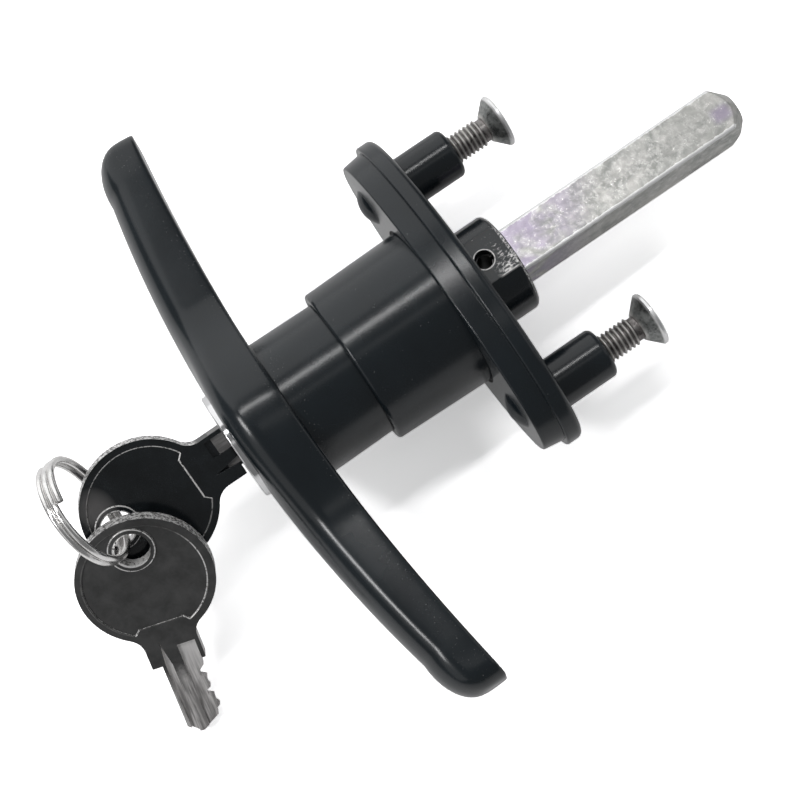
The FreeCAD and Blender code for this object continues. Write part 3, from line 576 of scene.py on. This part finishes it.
CUTTER_SIDES = 160
GRIP_STEPS = 56
NOSE_STEPS = 18
ARC_STEPS = 9


def rounding(past, radius):
    """How far a round corner has drawn back at a distance past its start."""
    return radius - math.sqrt(max(0.0, radius ** 2 - max(0.0, past) ** 2))


def grip_half_section(z, front_y):
    """Half outline of the T-bar at a height, from the middle of its back to that of its front."""
    nose_z = GRIP_HALF - NOSE_LEN
    nose = rounding((z - nose_z) / NOSE_LEN, 1.0)
    swell = math.cos(min(1.0, z / BOSS_REACH) * math.pi / 2) ** 2
    half_w = ARM_ROOT_W + (ARM_TIP_W - ARM_ROOT_W) * z / GRIP_HALF
    half_w += (BOSS_HALF_W - ARM_ROOT_W) * swell - NOSE_TUCK * nose
    half_w -= rounding(z - (GRIP_HALF - END_ROUND), END_ROUND)
    front = front_y + rounding(min(z, nose_z), FRONT_ARC_R) + NOSE_DEPTH * nose
    rear = front_y + GRIP_T + rounding(z, REAR_ARC_R)
    rear -= rounding(z - (GRIP_HALF - HEEL_ROUND), HEEL_ROUND)
    crown = CROWN_ARM + (CROWN_BOSS - CROWN_ARM) * swell
    crown *= min(1.0, (rear - front) / FULL_CROWN_T)
    crown_r = (half_w ** 2 + crown ** 2) / (2 * crown)
    edge_r = min(FRONT_EDGE_R, FRONT_EDGE_SHARE * half_w)
    corner_r = min(REAR_EDGE_R, REAR_EDGE_SHARE * half_w)
    edge_x = half_w - edge_r
    edge_y = front + crown_r - math.sqrt((crown_r - edge_r) ** 2 - edge_x ** 2)
    turn = math.atan2(front + crown_r - edge_y, edge_x)
    corner_x, corner_y = half_w - corner_r, rear - corner_r
    points = [(0.0, rear), (0.5 * corner_x, rear)]
    for i in range(ARC_STEPS):
        a = math.pi / 2 * (1 - i / (ARC_STEPS - 1))
        points.append((corner_x + corner_r * math.cos(a), corner_y + corner_r * math.sin(a)))
    for share in (0.25, 0.5, 0.75):
        points.append((half_w, corner_y + (edge_y - corner_y) * share))
    for i in range(ARC_STEPS):
        a = turn * i / (ARC_STEPS - 1)
        points.append((edge_x + edge_r * math.cos(a), edge_y - edge_r * math.sin(a)))
    end_x = edge_x + edge_r * math.cos(turn)
    for i in range(1, ARC_STEPS):
        x = end_x * (1 - i / (ARC_STEPS - 1))
        points.append((x, front + crown_r - math.sqrt(crown_r ** 2 - x ** 2)))
    bulged = []
    for x, y in points:
        off_top = ((y - front) / (rear - front) - BULGE_TOP) / (1 - BULGE_TOP)
        bulged.append((x - FLANK_BULGE * off_top ** 2 * x / half_w, y))
    return bulged


def grip_body(front_y):
    """The T-bar without its bores, from the lower end to the upper."""
    heights = [(GRIP_HALF - NOSE_LEN) * i / GRIP_STEPS for i in range(GRIP_STEPS)]
    heights += [GRIP_HALF - NOSE_LEN * (1 - math.sin(math.pi / 2 * i / NOSE_STEPS))
                for i in range(NOSE_STEPS + 1)]
    rings = []
    for z in [-h for h in heights[:0:-1]] + heights:
        half = grip_half_section(abs(z), front_y)
        rings.append([(x, y, z) for x, y in half + [(-x, y) for x, y in half[-2:0:-1]]])
    return lofted("grip", rings)


def cutter(radius, y0, y1):
    """A cylinder about the lock's axis, to cut or keep with."""
    turns = [2 * math.pi * i / CUTTER_SIDES for i in range(CUTTER_SIDES)]
    return lofted("cutter", [[(radius * math.cos(a), y, radius * math.sin(a)) for a in turns]
                             for y in (y0, y1)])


def combine(obj, tool, operation):
    """Leaves in obj what the operation with the tool gives, and deletes the tool."""
    step = obj.modifiers.new(operation, "BOOLEAN")
    step.operation = operation
    step.solver = "EXACT"
    step.object = tool
    evaluated = obj.evaluated_get(bpy.context.evaluated_depsgraph_get())
    shaped = bpy.data.meshes.new_from_object(evaluated)
    obj.modifiers.clear()
    obj.data = shaped
    bpy.data.objects.remove(tool)


def finer_handle():
    """The handle casting with its T-bar worked out; stem, journal and hub stay the solid's own."""
    node = nodes["handle_casting"]
    front_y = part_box("handle_casting")[0].y
    rear_y = front_y + GRIP_T
    grip = grip_body(front_y)
    combine(grip, cutter(SEAT_R, front_y - CUT_PAST, front_y + SEAT_DEPTH), "DIFFERENCE")
    combine(grip, cutter(BORE_R, front_y, rear_y + CUT_PAST), "DIFFERENCE")
    stem = new_object("stem", [tuple(v.co) for v in node.data.vertices],
                      [tuple(p.vertices) for p in node.data.polygons])
    combine(stem, cutter(STEM_CUT_R, rear_y - STEM_LAP, STEM_END_Y), "INTERSECT")
    made = bmesh.new()
    made.from_mesh(grip.data)
    made.from_mesh(stem.data)
    made.to_mesh(grip.data)
    made.free()
    bpy.data.objects.remove(stem)
    grip.name = "handle_casting_worked"
    shade_smooth(grip, 28)
    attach(grip, "handle")
    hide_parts("handle_casting")
    return grip


# The split ring in the first key's own frame: along the key, across it, out of its face
RING_R = 8.95 * MM
RING_WIRE_R = 0.56 * MM
RING_PITCH = 1.17 * MM
RING_START = math.radians(165.0)
RING_LAP = math.radians(62.0)
RING_AXIS = Vector((-0.956, -0.116, -0.269))
RING_SPOKE = Vector((0.255, -0.779, -0.572))
RING_WIRE_POINT = Vector((-5.776, -0.549, -0.413)) * MM
RING_STEPS = 260
WIRE_SIDES = 20


def ring_rise(wound):
    """How far the wire has climbed after an angle: half a pitch with each half turn."""
    half_turn = math.floor(wound / math.pi)
    eased = (1 - math.cos(wound - half_turn * math.pi)) / 2
    return (half_turn + eased) * RING_PITCH / 2


def longer_ring():
    """The split ring, its last end lapped over the joint so that three turns lie side by side."""
    origin, *key_axes = key_1_frame()
    to_part = Matrix(key_axes).transposed()
    axis = RING_AXIS.normalized()
    spoke = (RING_SPOKE - axis * RING_SPOKE.dot(axis)).normalized()
    centre = origin + to_part @ (RING_WIRE_POINT - spoke * RING_R)
    side = to_part @ axis.cross(spoke)
    axis, spoke = to_part @ axis, to_part @ spoke
    wire = []
    for i in range(RING_STEPS + 1):
        wound = (4 * math.pi + RING_LAP) * i / RING_STEPS
        turn = wound + RING_START
        out = spoke * math.cos(turn) + side * math.sin(turn)
        middle = centre + out * RING_R + axis * (ring_rise(wound) - RING_PITCH)
        around = [2 * math.pi * k / WIRE_SIDES for k in range(WIRE_SIDES)]
        wire.append([tuple(middle + (out * math.cos(a) + axis * math.sin(a)) * RING_WIRE_R)
                     for a in around])
    ring = lofted("split_ring_lapped", wire)
    shade_smooth(ring, 40)
    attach(ring, "ring")
    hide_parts("split_ring")
    return ring


def piece_materials():
    """The material of each node."""
    brass = simple_metal("wafer_brass", 0.72, (1.0, 0.76, 0.38), 0.32, 0.25)
    spring = simple_metal("spring_steel", 0.42, (1.0, 1.0, 1.02), 0.28, 0.3)
    cast = simple_metal("die_cast_zinc", 0.52, (0.98, 1.0, 1.02), 0.42, 0.25)
    washer = simple_metal("plated_washer", 0.58, (1.0, 1.0, 1.0), 0.30, 0.2)
    chosen = {
        "base_housing": coated_base(),
        "handle_casting": coated_handle(),
        "square_shaft": zinc_bar(),
        "mounting_screws": plated_screw(),
        "cam_screw": washer,
        "thrust_washer": washer,
        "drive_cam": washer,
        "wave_washer": spring,
        "retaining_ring": spring,
        "wafer_springs": spring,
        "cross_pin": simple_metal("blackened_pin", 0.05, (1.0, 1.0, 1.0), 0.40, 0.2),
        "lock_bezel": simple_metal("bright_bezel", 0.82, (1.0, 1.0, 1.01), 0.10, 0.1),
        "lock_shell": cast,
        "lock_plug": cast,
        "locking_bolt": cast,
        "split_ring": simple_metal("ring_steel", 0.92, (1.0, 0.99, 0.98), 0.20, 0.2, 0.02 * MM),
        # Per key: chord brightness, the border's painted shade on its far side, the painted
        # reflection on the bow, the window's painted light, and where the milling starts
        "key_1": key_material("key_black_1", key_1_frame(), grey(0.0095, (0.80, 1.0, 1.15)), 0.22,
                              {"chord": 1.0, "far_border_shade": 0.4, "painted_sheen": 0.9, "window": 0.12,
                               "milled_from": KEY_1_MILLED_FROM}),
        "key_2": key_material("key_black_2", key_2_frame(), grey(0.045), 0.38,
                              {"chord": 0.10, "far_border_shade": 0.12, "painted_sheen": 0.0, "window": 0.95,
                               "milled_from": KEY_2_MILLED_FROM}),
    }
    for name in nodes:
        if name.startswith("wafer_") and name[-1].isdigit():
            chosen[name] = brass
    return chosen


def dress(finer):
    """Gives each node its material, and the finer piece that replaces it, where there is one."""
    chosen = piece_materials()
    for name, node in nodes.items():
        for mesh in [node.data] + ([finer[name].data] if name in finer else []):
            mesh.materials.clear()
            mesh.materials.append(chosen[name])


def softbox(name, lift_deg, side_deg, distance, width, height, power):
    """An area light aimed at the part, given from the camera's own line of sight."""
    lift, turn = math.radians(lift_deg), math.radians(side_deg)
    raised = TOWARD * math.cos(lift) - BELOW * math.sin(lift)
    lamp = bpy.data.lights.new(name, "AREA")
    lamp.shape = "RECTANGLE"
    lamp.size, lamp.size_y = width, height
    lamp.energy = power
    light = bpy.data.objects.new(name, lamp)
    bpy.context.scene.collection.objects.link(light)
    back = (raised * math.cos(turn) + SHAFTWARD * math.sin(turn)).normalized()
    right = (SHAFTWARD - back * SHAFTWARD.dot(back)).normalized()
    up = back.cross(right)
    light.matrix_world = Matrix.Translation(CAMERA_TARGET + back * distance) @ Matrix(
        (right, up, back)).transposed().to_4x4()


def set_lights():
    """Soft studio light. Each lamp: lift and side in degrees, distance, width, height, power."""
    softbox("upper_softbox", 80, -8, 0.60, 0.85, 0.75, 1.9)
    softbox("highlight_strip", 33, 0, 0.70, 0.60, 0.045, 1.3)
    softbox("crease_light", 20, -42, 0.70, 0.10, 0.20, 1.10)
    softbox("low_strip", 8, 16, 0.70, 0.40, 0.08, 0.06)
    softbox("front_fill", -20, -52, 0.70, 0.40, 0.50, 0.30)
    softbox("rear_fill", 10, 60, 0.75, 0.40, 0.60, 0.4)


# The world: its light on the part, and how much of the white surroundings gloss and metal see
WORLD_LIGHT = 0.12
WORLD_TONE = (0.97, 0.99, 1.0, 1.0)
GLOSSY_SHARE = 0.08


def set_world():
    """White to the camera and through glass, a small share of it in gloss, and dim to the rest."""
    world = bpy.data.worlds.new("studio")
    bpy.context.scene.world = world
    g = Graph(world, "ShaderNodeOutputWorld")
    ray = g.add("ShaderNodeLightPath").outputs
    seen = g.largest(ray["Is Camera Ray"], ray["Is Transmission Ray"],
                     g.product(ray["Is Glossy Ray"], GLOSSY_SHARE))
    g.finish(g.mix(seen, g.shader("ShaderNodeBackground", Color=WORLD_TONE, Strength=WORLD_LIGHT),
                   g.shader("ShaderNodeBackground", Color=grey(1.0))))


# The pale surface that the lock lies on: it leans a little, from the flange's edge to the spare key
FLOOR_LEAN = math.radians(4.3)
FLOOR_HALF = 1.5
FLOOR_GAP = 0.2 * MM
FLOOR_TINT = (1.0, 0.995, 1.0)
FLOOR_PALE = 0.74
FLOOR_GLOW = 0.20
FLOOR_WHITE = 1.95
FLOOR_HAZE = 0.42


def floor_material():
    """Plain and pale to the light, with a glow in gloss and glass, and white to the camera."""
    g = Skin("pale_floor")
    ray = g.add("ShaderNodeLightPath").outputs
    pale = g.shader("ShaderNodeBsdfDiffuse", Color=grey(FLOOR_PALE, FLOOR_TINT))
    glowing = g.both(pale, g.shader("ShaderNodeEmission", Color=grey(1.0), Strength=FLOOR_GLOW))
    white = g.both(g.shader("ShaderNodeBsdfDiffuse", Color=grey(FLOOR_WHITE, FLOOR_TINT)),
                   g.shader("ShaderNodeEmission", Strength=FLOOR_HAZE))
    mirrored = g.largest(ray["Is Glossy Ray"], ray["Is Transmission Ray"])
    shown = g.mix(ray["Is Camera Ray"], g.mix(mirrored, pale, glowing), white)
    from_below = g.add("ShaderNodeNewGeometry").outputs["Backfacing"]
    return g.finish(g.mix(from_below, shown, g.shader("ShaderNodeBsdfTransparent")))


def lay_floor():
    normal = Vector((math.cos(FLOOR_LEAN), -math.sin(FLOOR_LEAN), 0))
    level = min(normal.dot(v.co) for node in nodes.values() for v in node.data.vertices) - FLOOR_GAP
    side = Vector((0, 0, 1))
    along = side.cross(normal)
    corners = [normal * level + along * a * FLOOR_HALF + side * b * FLOOR_HALF
               for a, b in ((-1, -1), (1, -1), (1, 1), (-1, 1))]
    mesh = bpy.data.meshes.new("floor")
    mesh.from_pydata(corners, [], [(0, 1, 2, 3)])
    if mesh.polygons[0].normal.dot(normal) < 0:
        mesh.flip_normals()
    mesh.materials.append(floor_material())
    floor = bpy.data.objects.new("floor", mesh)
    bpy.context.scene.collection.objects.link(floor)


def set_camera():
    right = SHAFTWARD * math.cos(PICTURE_TURN) + BELOW * math.sin(PICTURE_TURN)
    up = SHAFTWARD * math.sin(PICTURE_TURN) - BELOW * math.cos(PICTURE_TURN)
    lens = bpy.data.cameras.new("photo_camera")
    lens.sensor_width = SENSOR_MM
    lens.lens = FOCAL_PX / PICTURE_PX * SENSOR_MM
    lens.clip_start, lens.clip_end = CAMERA_CLIP
    camera = bpy.data.objects.new("photo_camera", lens)
    bpy.context.scene.collection.objects.link(camera)
    camera.matrix_world = Matrix.Translation(CAMERA_TARGET + TOWARD * CAMERA_DISTANCE) @ Matrix(
        (right, up, TOWARD)).transposed().to_4x4()
    bpy.context.scene.camera = camera


dress({"handle_casting": finer_handle(), "split_ring": longer_ring()})
lay_floor()
set_lights()
set_world()
set_camera()
bpy.context.scene.view_settings.view_transform = "Standard"
